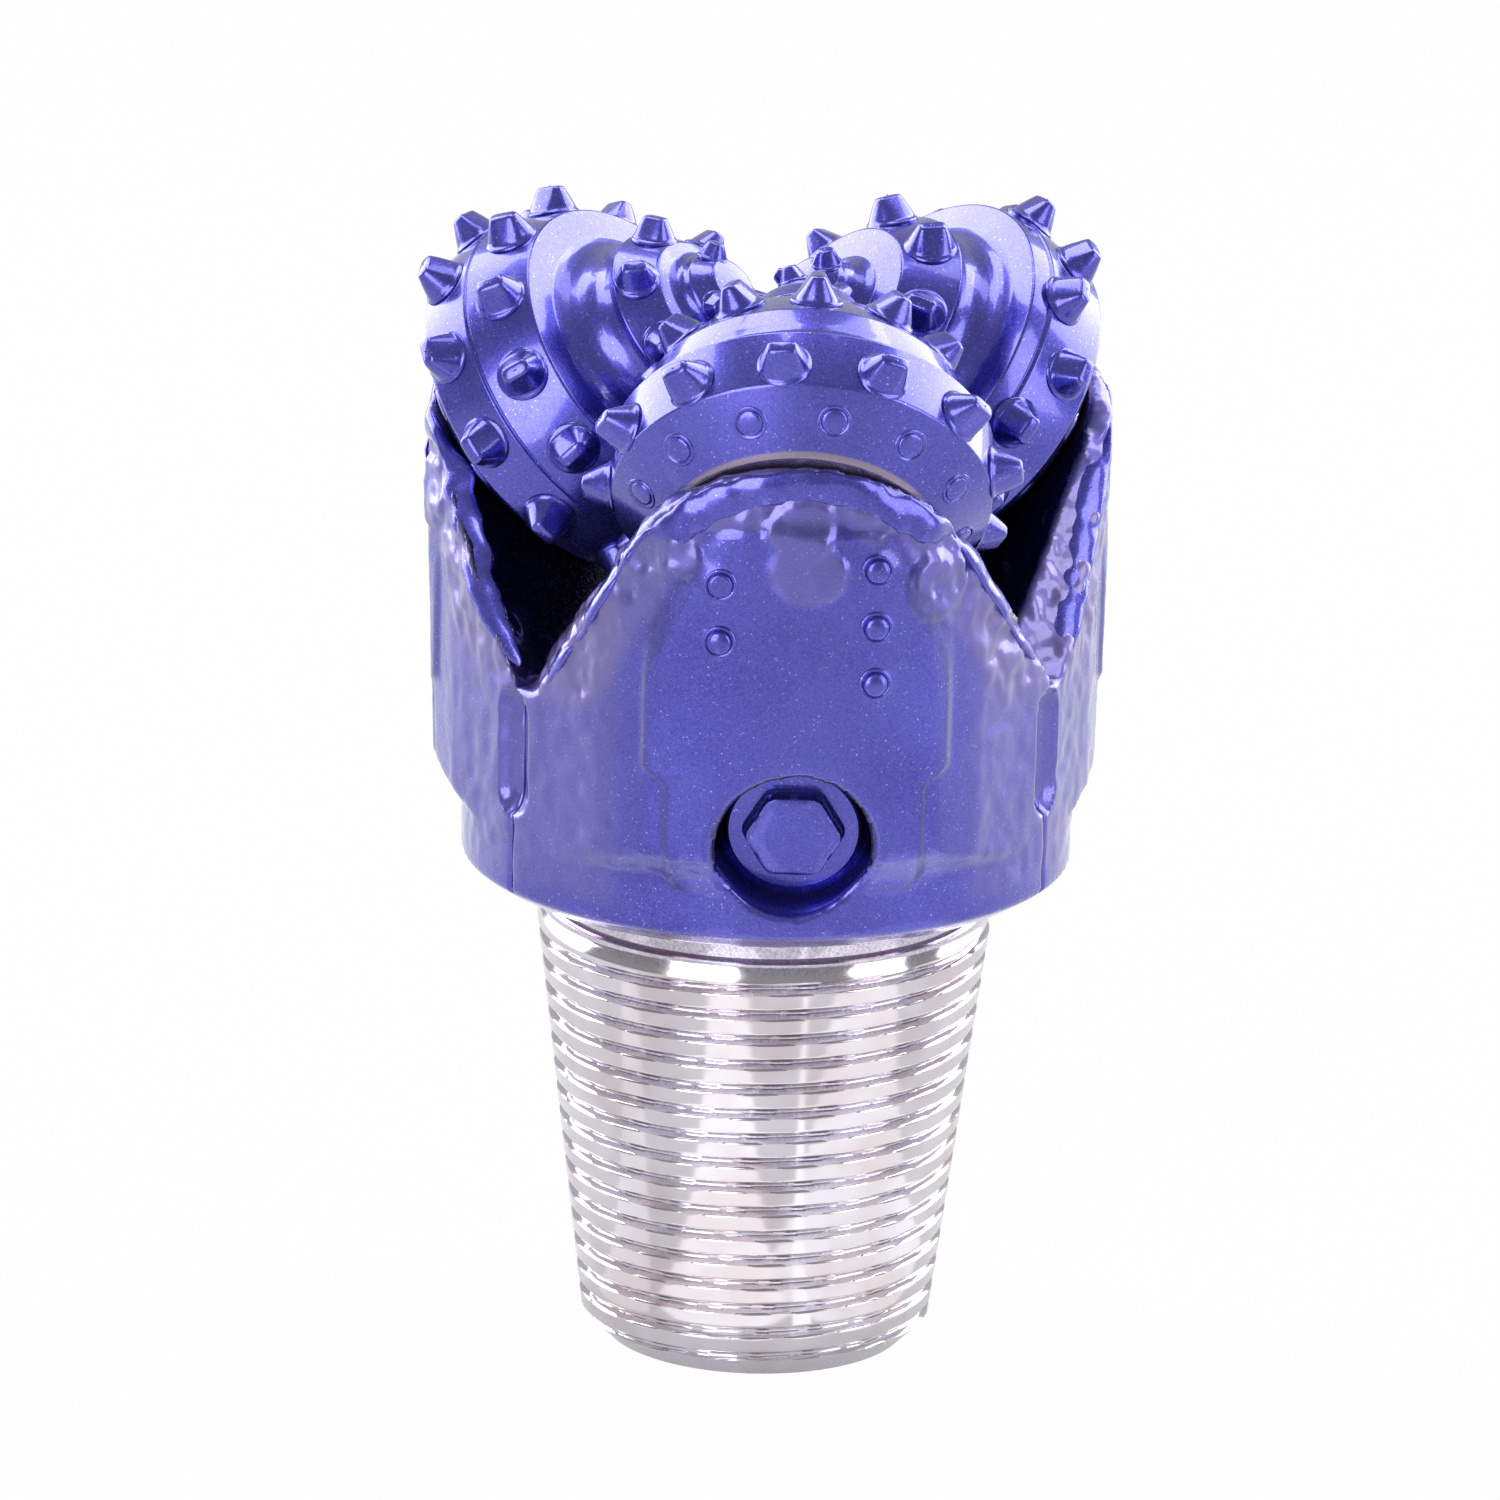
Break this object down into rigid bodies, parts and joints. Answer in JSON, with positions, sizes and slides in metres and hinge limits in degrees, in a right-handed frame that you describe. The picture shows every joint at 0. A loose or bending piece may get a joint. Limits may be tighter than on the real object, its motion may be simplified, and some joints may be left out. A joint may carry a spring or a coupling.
{
  "type": "tricone drill bit",
  "caption": "Roller-cone rock bit with intermeshing carbide-insert cones on sealed journal bearings, grease reservoirs in its legs and a tapered threaded pin.",
  "frame": {"origin": "centre of the make-up shoulder's face, on the bit axis", "axes": "+Z along the bit axis from the threaded pin towards the cones; the first leg's panel faces -Y"},
  "size_m": [0.1317, 0.1292, 0.2187],
  "materials": {
    "painted_forging": "metallic violet-blue enamel on forged steel",
    "painted_cone": "metallic violet-blue enamel on turned steel",
    "painted_carbide": "metallic violet-blue enamel on sintered carbide",
    "painted_cap": "metallic violet-blue enamel",
    "spring_steel": "oiled spring steel",
    "bare_steel": "ground steel",
    "silvered_bronze": "plated bearing bronze",
    "nitrile_rubber": "matt black",
    "sintered_carbide": "ground sintered carbide"
  },
  "bodies": {
    "bit_body": {"leg_1": "painted_forging", "ball_plug_1": "painted_forging", "leg_buttons_1": "painted_carbide", "reservoir_cap_1": "painted_cap", "snap_ring_1": "spring_steel", "diaphragm_1": "nitrile_rubber", "reservoir_cup_1": "bare_steel", "leg_2": "painted_forging", "ball_plug_2": "painted_forging", "leg_buttons_2": "painted_carbide", "reservoir_cap_2": "painted_cap", "snap_ring_2": "spring_steel", "diaphragm_2": "nitrile_rubber", "reservoir_cup_2": "bare_steel", "leg_3": "painted_forging", "ball_plug_3": "painted_forging", "leg_buttons_3": "painted_carbide", "reservoir_cap_3": "painted_cap", "snap_ring_3": "spring_steel", "diaphragm_3": "nitrile_rubber", "reservoir_cup_3": "bare_steel", "center_nozzle": "sintered_carbide", "nozzle_seal": "nitrile_rubber", "nozzle_ring": "bare_steel"},
    "cone_1": {"cone_1": "painted_cone", "gauge_inserts_1": "painted_carbide", "inner_inserts_1": "painted_carbide", "nose_inserts_1": "painted_carbide", "heel_buttons_1": "painted_carbide", "journal_bush_1": "silvered_bronze", "nose_bush_1": "silvered_bronze", "thrust_washer_1": "silvered_bronze", "seal_ring_1": "nitrile_rubber"},
    "balls_1": {"retaining_balls_1": "bare_steel"},
    "cone_2": {"cone_2": "painted_cone", "gauge_inserts_2": "painted_carbide", "inner_inserts_2": "painted_carbide", "nose_inserts_2": "painted_carbide", "heel_buttons_2": "painted_carbide", "journal_bush_2": "silvered_bronze", "nose_bush_2": "silvered_bronze", "thrust_washer_2": "silvered_bronze", "seal_ring_2": "nitrile_rubber"},
    "balls_2": {"retaining_balls_2": "bare_steel"},
    "cone_3": {"cone_3": "painted_cone", "gauge_inserts_3": "painted_carbide", "inner_inserts_3": "painted_carbide", "nose_inserts_3": "painted_carbide", "heel_buttons_3": "painted_carbide", "journal_bush_3": "silvered_bronze", "nose_bush_3": "silvered_bronze", "thrust_washer_3": "silvered_bronze", "seal_ring_3": "nitrile_rubber"},
    "balls_3": {"retaining_balls_3": "bare_steel"}
  },
  "joints": [
    {"name": "cone_1_spin", "type": "hinge", "parent": "bit_body", "child": "cone_1", "pos_m": [0.0055, 0, 0.119], "axis": [0, -0.7826, -0.6225], "continuous": true},
    {"name": "balls_1_roll", "type": "hinge", "parent": "bit_body", "child": "balls_1", "pos_m": [0.0055, 0, 0.119], "axis": [0, -0.7826, -0.6225], "continuous": true},
    {"name": "cone_2_spin", "type": "hinge", "parent": "bit_body", "child": "cone_2", "pos_m": [-0.00275, 0.00476, 0.119], "axis": [0.6778, 0.3913, -0.6225], "continuous": true},
    {"name": "balls_2_roll", "type": "hinge", "parent": "bit_body", "child": "balls_2", "pos_m": [-0.00275, 0.00476, 0.119], "axis": [0.6778, 0.3913, -0.6225], "continuous": true},
    {"name": "cone_3_spin", "type": "hinge", "parent": "bit_body", "child": "cone_3", "pos_m": [-0.00275, -0.00476, 0.119], "axis": [-0.6778, 0.3913, -0.6225], "continuous": true},
    {"name": "balls_3_roll", "type": "hinge", "parent": "bit_body", "child": "balls_3", "pos_m": [-0.00275, -0.00476, 0.119], "axis": [-0.6778, 0.3913, -0.6225], "continuous": true}
  ],
  "couplings": [
    {"joint": "balls_1_roll", "follows": "cone_1_spin", "ratio": 0.6439},
    {"joint": "balls_2_roll", "follows": "cone_2_spin", "ratio": 0.6439},
    {"joint": "balls_3_roll", "follows": "cone_3_spin", "ratio": 0.6439}
  ]
}
